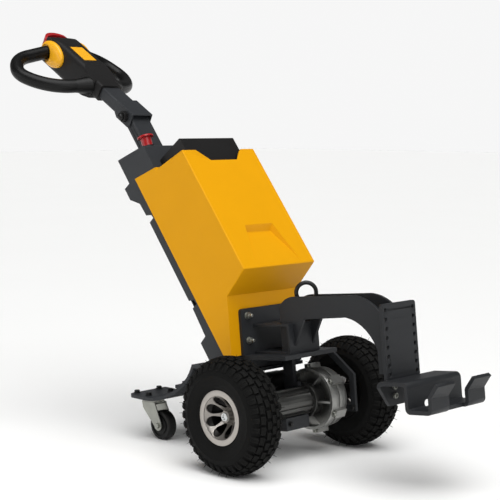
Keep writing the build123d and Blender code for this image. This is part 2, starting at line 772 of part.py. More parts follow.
with BuildPart() as pivot_bolt:
    with BuildSketch(tiller):
        Circle(pivot_r)
    extrude(amount=sleeve_half, both=True)
    with BuildSketch(tiller.offset(-sleeve_half)):
        RegularPolygon(15, 6)
    extrude(amount=-12)
    with BuildSketch(tiller.offset(sleeve_half)):
        RegularPolygon(14, 6)
    extrude(amount=9)
pivot_bolt.part.label = "pivot_bolt"

# Handle loops: round grip from a flared root at the console's front corner, drooping to the throttle wing
out = Vector(0, -cos(radians(droop_deg)), 0) - tiller.y_dir * sin(radians(droop_deg))
loop_deck = Plane(origin=tiller.from_local_coords((0, grip_h, -console_half)), x_dir=tiller.x_dir,
                  z_dir=tiller.x_dir.cross(out))
with BuildPart() as handle_loop_right:
    with BuildLine(loop_deck) as loop_path:
        FilletPolyline((168, -14), (199, 101.5), (289, 141.5), (353.5, 107.5), (358.5, -10),
                       radius=(148, 55, 62))
    root = Plane(origin=loop_path.line @ 0, z_dir=loop_path.line % 0)
    with BuildSketch(root):
        Circle(grip_r)
    sweep()
    with BuildSketch(root):
        Circle(root_r)
    with BuildSketch(root.offset(root_long)):
        Circle(grip_r - 0.3)
    loft()
handle_loop_right.part.label = "handle_loop_right"
with BuildPart() as handle_loop_left:
    mirror(handle_loop_right.part, about=Plane.XZ)
handle_loop_left.part.label = "handle_loop_left"

# Console: moulded head with a crowned top and a collar on the arm
console_mid = (console_top + console_low) / 2
head_back = body_back - 22
with BuildPart() as console:
    with BuildSketch(facing_arm(body_front, console_mid)):
        RectangleRounded(2 * console_half, console_top - console_low, 14)
    extrude(amount=body_back - body_front)
    with BuildSketch(tiller):
        with BuildLine():
            Polyline(
                (body_front, -31), (180, -38), (290, console_low), (375, console_low), (head_back, -40),
                (body_back, -22), (body_back, 8), (398, 20), (372, 31), (330, console_top), (215, console_top),
                (172, 24), (body_front, 22), close=True,
            )
        make_face()
    extrude(amount=2 * console_half, both=True, mode=Mode.INTERSECT)
    with BuildSketch(deck):
        with BuildLine():
            Polyline((head_back, 42), (330, console_half), (172, console_half), (body_front, 38),
                     (body_front, -38), (172, -console_half), (330, -console_half), (head_back, -42))
            ThreePointArc((head_back, -42), (body_back, 0), (head_back, 42))
        make_face()
    extrude(amount=2 * console_half, both=True, mode=Mode.INTERSECT)
    with BuildSketch(facing_arm(collar_front, arm_h - 1)):
        RectangleRounded(arm_w + 12, arm_d + 14, 8)
    extrude(amount=body_front - collar_front + 1)
    with BuildSketch(facing_arm(collar_front - 1, arm_h)):
        RectangleRounded(arm_w + 2 * sleeve_gap, arm_d, 5)
    extrude(amount=arm_end - collar_front + 1, mode=Mode.SUBTRACT)
    add(handle_loop_right.part, mode=Mode.SUBTRACT)
    add(handle_loop_left.part, mode=Mode.SUBTRACT)
console.part.label = "console"

with BuildPart() as throttle_right:
    with BuildSketch(tiller.offset(-console_half)):
        with Locations((337, -2)):
            Ellipse(50, 33)
    extrude(amount=-wing_t)
    fillet(throttle_right.faces().sort_by(Axis.Y)[0].edges(), radius=5)
    add(handle_loop_right.part, mode=Mode.SUBTRACT)
throttle_right.part.label = "throttle_right"
with BuildPart() as throttle_left:
    mirror(throttle_right.part, about=Plane.XZ)
throttle_left.part.label = "throttle_left"

# Reverse button: red cap over the head's rounded back end
cap_t = 14.0
cap_h = 51.0
with BuildPart() as reverse_button:
    with BuildSketch(deck.offset(-30)):
        with BuildLine():
            ThreePointArc((head_back, -42), (body_back, 0), (head_back, 42))
            Line((head_back, 42), (head_back + 5, 43))
            ThreePointArc((head_back + 5, 43), (body_back + cap_t, 0), (head_back + 5, -43))
            Line((head_back + 5, -43), (head_back, -42))
        make_face()
    extrude(amount=cap_h)
    with BuildSketch(facing_arm(head_back - 8, cap_h / 2 - 30)):
        RectangleRounded(2 * console_half, cap_h, 16)
    extrude(amount=60, mode=Mode.INTERSECT)
    add(console.part, mode=Mode.SUBTRACT)
reverse_button.part.label = "reverse_button"

with BuildPart() as label_plate:
    with BuildSketch(deck.offset(console_top)):
        with Locations((273, 0)):
            Rectangle(73, 42)
    extrude(amount=1.2)
label_plate.part.label = "label_plate"

pieces = [
    back_frame, back_panel, cover, battery, battery_shelf, mast, mast_foot, stop_base, stop_cap, rear_plate,
    mount_plate, gear_case, motor, axle_bracket_left, axle_bracket_right, gooseneck, cross_channel, tow_plate,
    lifting_ring, tow_bracket, tyre_right, rim_right, shaft_right, tyre_left, rim_left, shaft_left,
    caster_plate_right, caster_fork_right, caster_wheel_right, caster_plate_left, caster_fork_left,
    caster_wheel_left, tiller_sleeve, tiller_arm, pivot_bolt, console, handle_loop_right, handle_loop_left,
    throttle_right, throttle_left, reverse_button, label_plate,
]
for piece in pieces:
    export_step(piece.part, f"parts/{piece.part.label}.step")
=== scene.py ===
import json
import math

import bpy
from mathutils import Matrix, Vector


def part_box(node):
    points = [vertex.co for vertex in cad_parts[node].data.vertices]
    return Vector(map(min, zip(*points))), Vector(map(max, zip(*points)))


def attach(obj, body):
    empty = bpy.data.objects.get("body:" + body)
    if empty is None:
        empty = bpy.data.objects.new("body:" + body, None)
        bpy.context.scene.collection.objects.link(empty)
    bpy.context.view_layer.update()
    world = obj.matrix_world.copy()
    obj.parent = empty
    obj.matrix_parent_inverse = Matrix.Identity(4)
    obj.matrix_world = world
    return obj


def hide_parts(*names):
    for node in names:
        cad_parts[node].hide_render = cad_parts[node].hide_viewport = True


bl_info = {
    "name": "Tow tractor looks",
    "version": (1, 0, 0),
    "blender": (4, 5, 0),
    "location": "View3D > Sidebar > Tow tractor",
    "description": "Finishes, tyres, rims, fasteners and studio stage of a walk-behind electric tow tractor",
    "category": "Object",
}

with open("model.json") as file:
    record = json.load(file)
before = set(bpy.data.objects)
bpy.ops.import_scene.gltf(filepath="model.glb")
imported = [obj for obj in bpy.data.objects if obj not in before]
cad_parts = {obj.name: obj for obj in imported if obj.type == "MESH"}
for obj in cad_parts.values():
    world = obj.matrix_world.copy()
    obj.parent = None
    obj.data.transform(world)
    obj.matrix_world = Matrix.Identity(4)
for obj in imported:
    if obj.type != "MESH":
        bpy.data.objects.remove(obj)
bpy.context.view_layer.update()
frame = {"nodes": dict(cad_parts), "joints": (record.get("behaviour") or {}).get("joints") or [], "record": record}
MM = 0.001
SIDES = (("right", -1), ("left", 1))
JOINT_AT = {j["name"]: Vector(j["pos_m"]) for j in frame["joints"]}
WHEEL_AT = {side: JOINT_AT[f"drive_wheel_{side}_spin"] for side, _ in SIDES}
AXLE = Vector((WHEEL_AT["right"].x, 0, WHEEL_AT["right"].z))
WHEEL_Y = abs(WHEEL_AT["right"].y)
PIVOT = JOINT_AT["tiller_fold"]
# slope of the hitch and of the tiller's arm, droop of the handle's grips
HITCH_DEG = 6.0
ARM_DEG = 31.0
DROOP_DEG = 14.0


def linear(code):
    """Scene-linear colour of an sRGB hex code."""
    parts = [int(code[i:i + 2], 16) / 255 for i in (1, 3, 5)]
    return tuple(c / 12.92 if c <= 0.04045 else ((c + 0.055) / 1.055) ** 2.4 for c in parts)


def colour(label, code):
    return bpy.props.FloatVectorProperty(
        name=label, description=f"Base colour of the {label.lower()}", default=linear(code), min=0, max=1,
        subtype="COLOR",
    )


def length(label, text, mm):
    return bpy.props.FloatProperty(
        name=label, description=text, default=mm * MM, min=0, unit="LENGTH", precision=4,
    )


class TowColours(bpy.types.PropertyGroup):
    """Colours that a user may change"""

    grey: colour("Grey powder coat", "#2C2E31")
    yellow: colour("Yellow powder coat", "#DB9A09")
    black: colour("Black moulding", "#131212")
    grip: colour("Grip", "#0B0B0B")
    red: colour("Red moulding", "#A8161B")
    wing: colour("Yellow moulding", "#F7B21C")
    cast: colour("Cast aluminium", "#9A9A97")
    rim: colour("Wheel alloy", "#ABA6A0")
    steel: colour("Bright steel", "#C9CBCB")
    zinc: colour("Zinc plate", "#9C9D96")
    tyre: colour("Tyre rubber", "#0D0D0C")
    floor: colour("Floor", "#FBFBFA")


class TowSizes(bpy.types.PropertyGroup):
    """Sizes that a user may change"""

    edge: length("Edge break", "Width of the broken edge on plates", 1.2)
    tread: length("Tread depth", "Depth of the tyre's blocks", 4.5)
    pitches: bpy.props.IntProperty(
        name="Tread pitches", description="Blocks in one row round a tyre", default=34, min=8, max=60,
    )
    bolt: length("Bolt radius", "Radius of the M8 bolts", 4.0)


def colours():
    return bpy.context.scene.tow_colours


def sizes():
    return bpy.context.scene.tow_sizes


def hitch(p, q, y=0.0):
    """Point of the frame from hitch coordinates in millimetres, p forward, q up."""
    a = math.radians(HITCH_DEG)
    return AXLE + MM * Vector((p * math.cos(a) - q * math.sin(a), y, p * math.sin(a) + q * math.cos(a)))


def tiller(along, up, y=0.0):
    """Point of the frame from tiller coordinates in millimetres, along the arm from the pivot, up from it."""
    a = math.radians(ARM_DEG)
    x = up * math.sin(a) - along * math.cos(a)
    return PIVOT + MM * Vector((x, y, along * math.sin(a) + up * math.cos(a)))


def facing(direction, point):
    """Matrix that carries local +Z to a direction at a point."""
    return Matrix.Translation(point) @ Vector(direction).to_track_quat("Z", "Y").to_matrix().to_4x4()


# Materials

# the part of a noise's range that it mostly covers, and the share of the mottle that reaches the roughness
NOISE_LOW = 0.3
NOISE_HIGH = 0.7
ROUGH_SHARE = 0.3


def add(tree, kind, inputs=None, **settings):
    """Adds a shader node with settings; inputs are values or the sockets that feed them."""
    node = tree.nodes.new(kind)
    for key, value in settings.items():
        setattr(node, key, value)
    for key, value in (inputs or {}).items():
        if isinstance(value, bpy.types.NodeSocket):
            tree.links.new(value, node.inputs[key])
        else:
            node.inputs[key].default_value = value
    return node


def material(name, base, rough, metal=0.0, shine=0.5, grain_mm=0.6, grain=0.05, mottle_mm=60.0, mottle=0.03,
             mask=None):
    """Procedural finish on Object coordinates: fine grain as bump, slow mottle in tone and roughness.

    Most real grain is finer than half a millimetre and is drawn coarser, so that it shows.
    A mask is a function from the tree and the place to a factor of the base colour.
    """
    made = bpy.data.materials.new(name)
    made.use_nodes = True
    tree = made.node_tree
    tree.nodes.clear()
    place = add(tree, "ShaderNodeTexCoord").outputs["Object"]
    slow = add(tree, "ShaderNodeTexNoise", {"Vector": place, "Scale": 1 / (mottle_mm * MM), "Detail": 4.0})
    fine = add(tree, "ShaderNodeTexNoise", {"Vector": place, "Scale": 1 / (grain_mm * MM), "Detail": 2.0})
    spread_in = {"Value": slow.outputs["Fac"], "From Min": NOISE_LOW, "From Max": NOISE_HIGH}
    tone = add(tree, "ShaderNodeMapRange", {**spread_in, "To Min": 1 - mottle, "To Max": 1 + mottle})
    gloss = add(tree, "ShaderNodeMapRange", {
        **spread_in, "To Min": rough - ROUGH_SHARE * mottle, "To Max": rough + ROUGH_SHARE * mottle,
    })
    factor = tone.outputs["Result"]
    if mask:
        masked = add(tree, "ShaderNodeMath", {0: factor, 1: mask(tree, place)}, operation="MULTIPLY")
        factor = masked.outputs[0]
    shade = add(tree, "ShaderNodeVectorMath", {0: tuple(base)[:3], "Scale": factor}, operation="SCALE")
    bump = add(tree, "ShaderNodeBump", {
        "Height": fine.outputs["Fac"], "Strength": grain, "Distance": grain_mm * MM,
    })
    shader = add(tree, "ShaderNodeBsdfPrincipled", {
        "Base Color": shade.outputs["Vector"], "Roughness": gloss.outputs["Result"], "Metallic": metal,
        "Normal": bump.outputs["Normal"], "Specular IOR Level": shine,
    })
    add(tree, "ShaderNodeOutputMaterial", {"Surface": shader.outputs["BSDF"]})
    return made


def from_axle(tree, place):
    """Socket of the distance from the axle's line."""
    xyz = add(tree, "ShaderNodeSeparateXYZ", {"Vector": place}).outputs
    flat = add(tree, "ShaderNodeCombineXYZ", {"X": xyz["X"], "Z": xyz["Z"]})
    radius = add(tree, "ShaderNodeVectorMath", {0: flat.outputs[0], 1: AXLE}, operation="DISTANCE")
    return radius.outputs["Value"]


def from_middle(tree, place):
    """Socket of the distance from the machine's middle plane."""
    across = add(tree, "ShaderNodeSeparateXYZ", {"Vector": place}).outputs["Y"]
    return add(tree, "ShaderNodeMath", {0: across}, operation="ABSOLUTE").outputs[0]


# Rims' finish: start of the machined lip, cone of the spokes' faces, depths behind it where the painted shade sets
# in
LIP_R = 50.0 * MM
LIP_BLEND = 0.7 * MM
CONE_SLOPE = 1.015
CONE_SET_IN = 13.3 * MM
HOLLOW_SHADE_DEPTHS = (2.0 * MM, 4.2 * MM)
SPOKE_TONE = 0.75
HOLLOW_SHADE_TONE = 0.03


def rim_mask(tree, place):
    """Bright machined lip on the outside, duller cast spokes, and painted shade in the hollow behind the spokes
    and on the rim's inner side.
    """
    radius, wide = from_axle(tree, place), from_middle(tree, place)
    lip = add(tree, "ShaderNodeMapRange", {"Value": radius, "From Min": LIP_R, "From Max": LIP_R + LIP_BLEND})
    cone = add(tree, "ShaderNodeMath", {0: radius, 1: CONE_SLOPE, 2: WHEEL_Y - CONE_SET_IN},
               operation="MULTIPLY_ADD")
    deep = add(tree, "ShaderNodeMath", {0: cone.outputs[0], 1: wide}, operation="SUBTRACT")
    hollow_shade = add(tree, "ShaderNodeMapRange", {
        "Value": deep.outputs[0], "From Min": HOLLOW_SHADE_DEPTHS[0], "From Max": HOLLOW_SHADE_DEPTHS[1],
        "To Min": SPOKE_TONE, "To Max": HOLLOW_SHADE_TONE,
    })
    # the lip stays bright only on the outside; the inner side gets the painted shade
    outside = add(tree, "ShaderNodeMath", {0: wide, 1: WHEEL_Y}, operation="GREATER_THAN")
    bright = add(tree, "ShaderNodeMath", {0: lip.outputs[0], 1: outside.outputs[0]}, operation="MULTIPLY")
    mixed = add(tree, "ShaderNodeMath", {0: bright.outputs[0], 1: hollow_shade.outputs[0]}, operation="MAXIMUM")
    return mixed.outputs[0]


# Tyres' painted light: depths below the crown between which a groove ends, radii between which the side wall ends
GROOVE_DEPTHS = (4.0, 1.0)
WALL_ENDS = (122.0 * MM, 116.0 * MM)
# painted light: side walls' share of it, painted shade in the grooves, painted highlight on the block tops
WALL_LIGHT_SHARE = 0.45
GROOVE_SHADE_TONE = 0.3
TOP_LIGHT_TONE = 1.2


def tread_light_mask(tree, place):
    """Painted light: lighter block tops, darker side walls and painted shade in the grooves."""
    radius, wide = from_axle(tree, place), from_middle(tree, place)
    section = add(tree, "ShaderNodeCombineXYZ", {"X": radius, "Y": wide})
    crown = add(tree, "ShaderNodeVectorMath", {
        0: section.outputs[0], 1: ((TYRE_R - CROWN_R) * MM, WHEEL_Y, 0),
    }, operation="DISTANCE")
    top = add(tree, "ShaderNodeMapRange", {
        "Value": crown.outputs["Value"], "From Min": (CROWN_R - GROOVE_DEPTHS[0]) * MM,
        "From Max": (CROWN_R - GROOVE_DEPTHS[1]) * MM,
    })
    wall = add(tree, "ShaderNodeMapRange", {
        "Value": radius, "From Min": WALL_ENDS[0], "From Max": WALL_ENDS[1], "To Max": WALL_LIGHT_SHARE,
    })
    lit_share = add(tree, "ShaderNodeMath", {0: top.outputs[0], 1: wall.outputs[0]}, operation="MAXIMUM")
    tone = add(tree, "ShaderNodeMapRange", {
        "Value": lit_share.outputs[0], "To Min": GROOVE_SHADE_TONE, "To Max": TOP_LIGHT_TONE,
    })
    return tone.outputs[0]


# Painted shade: the stretch along the machine where the coat darkens; darker axle tube: the radii between axle
# tube and case
PAINTED_SHADE_X = (50.0 * MM, 200.0 * MM)
PAINTED_SHADE_TONE = 0.6
TUBE_ENDS = (45.0 * MM, 60.0 * MM)
TUBE_TONE = 0.33


def painted_shade_mask(tree, place):
    """Painted shade on the coat, darker towards the hitch end."""
    ahead = add(tree, "ShaderNodeSeparateXYZ", {"Vector": place}).outputs["X"]
    tone = add(tree, "ShaderNodeMapRange", {
        "Value": ahead, "From Min": PAINTED_SHADE_X[0], "From Max": PAINTED_SHADE_X[1],
        "To Min": 1.0, "To Max": PAINTED_SHADE_TONE,
    })
    return tone.outputs[0]


def tube_mask(tree, place):
    """Axle tube darkened to a third of the case's tone, bare metal on the case."""
    tone = add(tree, "ShaderNodeMapRange", {
        "Value": from_axle(tree, place), "From Min": TUBE_ENDS[0], "From Max": TUBE_ENDS[1],
        "To Min": TUBE_TONE,
    })
    return tone.outputs[0]


def finishes():
    """Finish of each material slot of the record."""
    c = colours()
    return {
        # polyester powder coat with a fine leather texture, which spreads its highlights wide
        # the mask paints shade on the coat towards the hitch end
        "grey_paint": material("grey_powder_coat", c.grey, 0.5, shine=0.3, grain_mm=0.7, grain=0.25,
                               mottle=0.06, mask=painted_shade_mask),
        # smooth polyester powder coat with slight orange peel, deep in colour with little haze
        "yellow_paint": material("yellow_powder_coat", c.yellow, 0.42, shine=0.1, grain_mm=2.5, grain=0.04,
                                 mottle_mm=120, mottle=0.02),
        # satin enamel over steel, black with a soft shine
        "black_paint": material("black_enamel", c.grip, 0.4, shine=0.4, grain_mm=1.0, grain=0.1, mottle=0.05),
        # glass-filled nylon moulding with a spark-eroded grain, a dull dark grey in the light
        "black_plastic": material("black_moulding", c.black, 0.52, shine=0.3, grain_mm=0.6, grain=0.2,
                                  mottle=0.05),
        # soft-touch coat on a steel tube, with one long soft highlight
        "grip_black": material("grip_coat", c.grip, 0.38, shine=0.22, grain_mm=0.8, grain=0.08, mottle=0.04),
        # gloss ABS, bright with small clear highlights
        "red_plastic": material("red_moulding", c.red, 0.3, grain_mm=3.0, grain=0.02),
        "yellow_plastic": material("yellow_moulding", c.wing, 0.32, grain_mm=3.0, grain=0.02),
        # gravity-cast aluminium, tumbled, cloudy and a little rough
        "cast_alloy": material("cast_aluminium", c.cast, 0.4, metal=0.92, grain_mm=1.4, grain=0.3,
                               mottle_mm=45, mottle=0.16, mask=tube_mask),
        # cast aluminium wheel with a machined lip, which is its brightest part
        # the mask paints shade in the hollow behind the spokes and on the rim's inner side
        "wheel_alloy": material("wheel_aluminium", c.rim, 0.32, metal=0.8, grain_mm=1.0, grain=0.1,
                                mottle_mm=30, mottle=0.06, mask=rim_mask),
        # turned steel, clean and bright
        "bright_steel": material("bright_steel", c.steel, 0.25, metal=1.0, grain_mm=0.4, grain=0.05),
        # blue-passivated zinc plate on pressed steel, a flecked light grey
        "zinc_steel": material("zinc_plate", c.zinc, 0.38, metal=0.85, grain_mm=1.2, grain=0.1, mottle_mm=25,
                               mottle=0.1),
        # carbon-black rubber, almost without shine on the tyres and with a satin one on the casters
        # the tyres' mask paints light on the block tops and shade in the grooves and on the side walls
        "tyre_rubber": material("tyre_rubber", c.tyre, 0.72, shine=0.14, grain_mm=0.9, grain=0.3,
                                mottle_mm=40, mottle=0.12, mask=tread_light_mask),
        "caster_rubber": material("caster_rubber", c.tyre, 0.55, shine=0.3, grain_mm=0.8, grain=0.15,
                                  mottle=0.06),
    }


FINISHES = {}


def finish(slot):
    """The finish of a slot; all are made on the first call."""
    if not FINISHES:
        FINISHES.update(finishes())
    return FINISHES[slot]


# Modelling helpers


def clear_selection():
    if bpy.context.mode != "OBJECT":
        bpy.ops.object.mode_set(mode="OBJECT")
    bpy.ops.object.select_all(action="DESELECT")


def take(obj):
    """Makes one object the only selected and the active one."""
    clear_selection()
    obj.select_set(True)
    bpy.context.view_layer.objects.active = obj
    return obj


def settle(obj, matrix):
    """Places an object by a matrix and applies it, so the object itself sits unturned at the origin."""
    take(obj)
    obj.matrix_world = matrix
    bpy.ops.object.transform_apply(location=True, rotation=True, scale=True)
    return obj


def modify(obj, kind, **settings):
    """Adds a modifier with settings and applies it."""
    take(obj)
    bpy.ops.object.modifier_add(type=kind)
    made = obj.modifiers[-1]
    for key, value in settings.items():
        setattr(made, key, value)
    bpy.ops.object.modifier_apply(modifier=made.name)
    return obj


def cut(obj, cutter):
    """Takes one object's volume from another and deletes the cutter."""
    modify(obj, "BOOLEAN", operation="DIFFERENCE", object=cutter, solver="EXACT")
    bpy.data.objects.remove(cutter)
    return obj


def smooth(obj, degrees=32):
    take(obj)
    bpy.ops.object.shade_smooth_by_angle(angle=math.radians(degrees))
    return obj


def draw_line(points, closed):
    """New object in edit mode, a line through (x, y, z) points in millimetres."""
    clear_selection()
    bpy.ops.mesh.primitive_plane_add(size=MM)
    bpy.ops.object.mode_set(mode="EDIT")
    bpy.ops.mesh.select_mode(type="VERT")
    bpy.ops.mesh.merge(type="CENTER")
    line = [Vector(point) * MM for point in points]
    bpy.ops.transform.translate(value=line[0])
    for start, end in zip(line, line[1:] + line[:1] * closed):
        bpy.ops.mesh.extrude_region_move(TRANSFORM_OT_translate={"value": end - start})
    bpy.ops.mesh.select_all(action="SELECT")
    bpy.ops.mesh.remove_doubles(threshold=1e-6)
    return bpy.context.object


def prism(points, low, high):
    """Upright prism over a closed outline of (x, y) points in millimetres."""
    obj = draw_line([(x, y, low) for x, y in points], True)
    bpy.ops.mesh.edge_face_add()
    bpy.ops.mesh.extrude_region_move(TRANSFORM_OT_translate={"value": (0, 0, (high - low) * MM)})
    bpy.ops.mesh.select_all(action="SELECT")
    bpy.ops.mesh.normals_make_consistent(inside=False)
    bpy.ops.object.mode_set(mode="OBJECT")
    return obj


def lathe(points, steps=48, closed=True):
    """Turns a profile of (radius, height) points in millimetres about the local Z axis."""
    obj = draw_line([(r, 0, z) for r, z in points], closed)
    bpy.ops.mesh.spin(steps=steps, angle=math.tau, center=(0, 0, 0), axis=(0, 0, 1))
    bpy.ops.mesh.select_all(action="SELECT")
    bpy.ops.mesh.remove_doubles(threshold=1e-6)
    bpy.ops.mesh.normals_make_consistent(inside=False)
    bpy.ops.object.mode_set(mode="OBJECT")
    return obj


def pick_faces(obj, test):
    """Enters edit mode with only the faces that pass a test selected."""
    take(obj)
    bpy.ops.object.mode_set(mode="EDIT")
    bpy.ops.mesh.select_mode(type="FACE")
    bpy.ops.mesh.select_all(action="DESELECT")
    bpy.ops.object.mode_set(mode="OBJECT")
    for face in obj.data.polygons:
        face.select = test(face)
    bpy.ops.object.mode_set(mode="EDIT")


def hexagon(radius, low, high, chamfer=0.8, slope=0.6):
    """Hexagon prism with a chamfered top, heights in millimetres along the local Z axis."""
    clear_selection()
    bpy.ops.mesh.primitive_cylinder_add(vertices=6, radius=radius * MM, depth=(high - low) * MM,
                                        location=(0, 0, (low + high) / 2 * MM))
    obj = bpy.context.object
    bpy.ops.object.transform_apply(location=True, rotation=False, scale=False)
    pick_faces(obj, lambda f: f.normal.z > 0.9)
    bpy.ops.mesh.inset(thickness=chamfer * MM)
    bpy.ops.transform.translate(value=(0, 0, chamfer * slope * MM))
    bpy.ops.object.mode_set(mode="OBJECT")
    return obj


def join(objects):
    """Joins objects into the first one."""
    clear_selection()
    for obj in objects:
        obj.select_set(True)
    bpy.context.view_layer.objects.active = objects[0]
    bpy.ops.object.join()
    return objects[0]


def copy(obj):
    """Copy of an object with a mesh of its own."""
    take(obj)
    bpy.ops.object.duplicate(linked=False)
    return bpy.context.object


def ring(obj, count, turn):
    """Array of an object round the origin, each copy turned further by the given angles."""
    clear_selection()
    bpy.ops.object.empty_add(rotation=turn)
    step = bpy.context.object
    modify(obj, "ARRAY", count=count, use_relative_offset=False, use_object_offset=True, offset_object=step)
    bpy.data.objects.remove(step)
    return obj


def hand_in(obj, name, body, slot):
    """Names a finished piece, gives it its finish and lets it ride on its body."""
    obj.name = name
    obj.data.name = name
    obj.data.materials.clear()
    obj.data.materials.append(finish(slot))
    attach(obj, body)
    return obj


def spread(model, places, name, body, slot):
    """Copies a model to each place and hands each copy in; the model goes to the last place itself."""
    for i, matrix in enumerate(places):
        piece = model if i == len(places) - 1 else copy(model)
        settle(piece, matrix)
        hand_in(piece, f"{name}_{i + 1}", body, slot)


class TOW_OT_finish(bpy.types.Operator):
    """Give every solid its finish and break the sharp edges of the plates"""

    bl_idname = "tow.finish"
    bl_label = "Finishes"

    broken = (
        "cover", "back_frame", "mount_plate", "gooseneck", "tow_plate", "tow_bracket", "rear_plate", "mast",
        "tiller_sleeve", "tiller_arm", "battery", "cross_channel", "axle_bracket_left", "axle_bracket_right",
        "label_plate", "pivot_bolt", "gear_case",
    )
    weld_gap = 0.02 * MM
    sharp = math.radians(40)

    def execute(self, context):
        for row in frame["record"]["subparts"]:
            obj = frame["nodes"][row["node"]]
            obj.data.materials.clear()
            obj.data.materials.append(finish(row["material_slot"]))
        for name in self.broken:
            obj = frame["nodes"][name]
            weld = obj.modifiers.new("weld", "WELD")
            weld.merge_threshold = self.weld_gap
            bevel = obj.modifiers.new("broken edge", "BEVEL")
            bevel.width = sizes().edge
            bevel.segments = 2
            bevel.limit_method = "ANGLE"
            bevel.angle_limit = self.sharp
            bevel.harden_normals = True
        return {"FINISHED"}


# Tyre: radius of the tread and of the crown's arc across it
TYRE_R = 137.5
CROWN_R = 60.3
# half of the carcass as (radius, half width) from the bead to the crown, and the hollow inside it
CARCASS = (
    (52, 30), (52, 38), (64, 38), (67, 40.5), (70, 42), (71, 43.2), (74, 44.6), (84, 46.6), (95, 47.2),
    (97, 48), (99, 47.2), (106, 45.2), (112, 42.2), (118, 37.8), (124, 30), (129.5, 18), (132.5, 6),
)
HOLLOW = ((86, 32), (116, 28), (116, -28), (86, -32))
# tread rows of one pitch: place across the tyre, width, length, share of a pitch, skew in degrees
ROWS = (
    (-28.5, 13.0, 20.0, 0.0, -3.0), (-14.0, 11.5, 19.0, 0.5, 2.0), (0.0, 12.0, 19.0, 0.0, 0.0),
    (14.0, 11.5, 19.0, 0.5, -2.0), (28.5, 13.0, 20.0, 0.0, 3.0),
)
BLOCK_SUNK = 3.0
BLOCK_TAPER = 0.88
# broken edge of a block, rim round its sunk field, run and depth of the field's wall
BLOCK_EDGE = 0.7
FIELD_RIM = 1.9
FIELD_WALL = (0.5, 0.8)
# shoulder lug: width, length, height, taper; place across, radius, lean in degrees
LUG_SIZE = (20.0, 13.0, 5.0, 0.86)
LUG_AT = (39.8, 117.5, 58.0)
# moulding hair: root radius, tip radius, length; place round, across, radius, lean in degrees
HAIR_SIZE = (0.8, 0.25, 10.0)
HAIR_AT = (4.0, 36.0, 131.5, 38.0)


def tread_block(width, long, tall, taper):
    """One block with broken edges, tapered towards its top, which has a sunk field."""
    clear_selection()
    bpy.ops.mesh.primitive_cube_add(size=1)
    obj = bpy.context.object
    obj.dimensions = (long * MM, width * MM, tall * MM)
    bpy.ops.object.transform_apply(location=False, rotation=False, scale=True)
    pick_faces(obj, lambda f: f.normal.z > 0.9)
    bpy.ops.transform.resize(value=(taper, taper, 1))
    bpy.ops.object.mode_set(mode="OBJECT")
    modify(obj, "BEVEL", width=BLOCK_EDGE * MM, segments=1)
    pick_faces(obj, lambda f: f.normal.z > 0.99)
    bpy.ops.mesh.inset(thickness=FIELD_RIM * MM)
    bpy.ops.mesh.inset(thickness=FIELD_WALL[0] * MM, depth=-FIELD_WALL[1] * MM)
    bpy.ops.object.mode_set(mode="OBJECT")
    return obj


def moulding_hair():
    """Thin tapered hair that the mould's vents leave on a tyre."""
    root, tip, long = HAIR_SIZE
    clear_selection()
    bpy.ops.mesh.primitive_cone_add(vertices=5, radius1=root * MM, radius2=tip * MM, depth=long * MM)
    return bpy.context.object


def on_tread(lean, y, radius, x=0.0):
    """Matrix of a place on the tread, local +Z leaning outwards by an angle in radians."""
    return Matrix.Translation(MM * Vector((x, y, radius))) @ Matrix.Rotation(-lean, 4, "X")


def tyre_model():
    """Whole tyre about the origin, its axle along Y."""
    wall = [(r, -h) for r, h in CARCASS] + [(r, h) for r, h in reversed(CARCASS)]
    carcass = lathe(wall + list(HOLLOW), steps=120)
    settle(carcass, Matrix.Rotation(math.radians(-90), 4, "X"))
    pitch = math.tau / sizes().pitches
    tall = sizes().tread / MM + BLOCK_SUNK
    pieces = []
    for y, width, long, phase, skew in ROWS:
        lean = math.asin(y / CROWN_R)
        middle = CROWN_R - tall / 2
        place = on_tread(lean, middle * math.sin(lean), TYRE_R - CROWN_R + middle * math.cos(lean))
        turned = Matrix.Rotation(phase * pitch, 4, "Y") @ place @ Matrix.Rotation(math.radians(skew), 4, "Z")
        pieces.append(settle(tread_block(width, long, tall, BLOCK_TAPER), turned))
    for side in (1, -1):
        y, radius, lean = LUG_AT
        pieces.append(settle(tread_block(*LUG_SIZE), on_tread(math.radians(lean) * side, y * side, radius)))
        x, y, radius, lean = HAIR_AT
        pieces.append(settle(moulding_hair(), on_tread(math.radians(lean) * side, y * side, radius, x)))
    tread = ring(join(pieces), sizes().pitches, (0, pitch, 0))
    return smooth(join([carcass, tread]), 40)


class TOW_OT_tyres(bpy.types.Operator):
    """Model the pneumatic tyres with their block tread"""

    bl_idname = "tow.tyres"
    bl_label = "Tyres"

    def execute(self, context):
        model = tyre_model()
        for side, piece in (("right", copy(model)), ("left", model)):
            settle(piece, Matrix.Translation(WHEEL_AT[side]))
            hand_in(piece, f"tread_tyre_{side}", f"drive_wheel_{side}", "tyre_rubber")
            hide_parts(f"tyre_{side}")
        return {"FINISHED"}


# Rim: barrel, dished spider and hub as (radius, height) points, heights towards the outside
BARREL = (
    (63.7, 38.2), (63.7, 40), (50.5, 40), (49.5, 32), (41, 24), (40, -36), (46, -40), (63.7, -40),
    (63.7, -38.2), (51.8, -38.2), (51.8, -29.8), (44, -24), (44, 24), (51.8, 29.8), (51.8, 38.2),
)
SPIDER = (
    (51, 38.5), (46.5, 34), (37, 24.5), (26, 13.5), (18, 5), (18, -4), (26, 4.5), (37, 15.5), (46, 26),
    (49, 32),
)
HUB = ((10, 20), (13, 20), (14, 16), (16, 8), (19, 5), (19, -40), (10, -40))
SPOKES = 8
# the two round ends of the petal between two spokes: distance from the axle and radius
PETAL = ((37.3, 11.9), (26.5, 5.9))
PETAL_STEPS = 12
PETAL_CUT = (-20, 60)


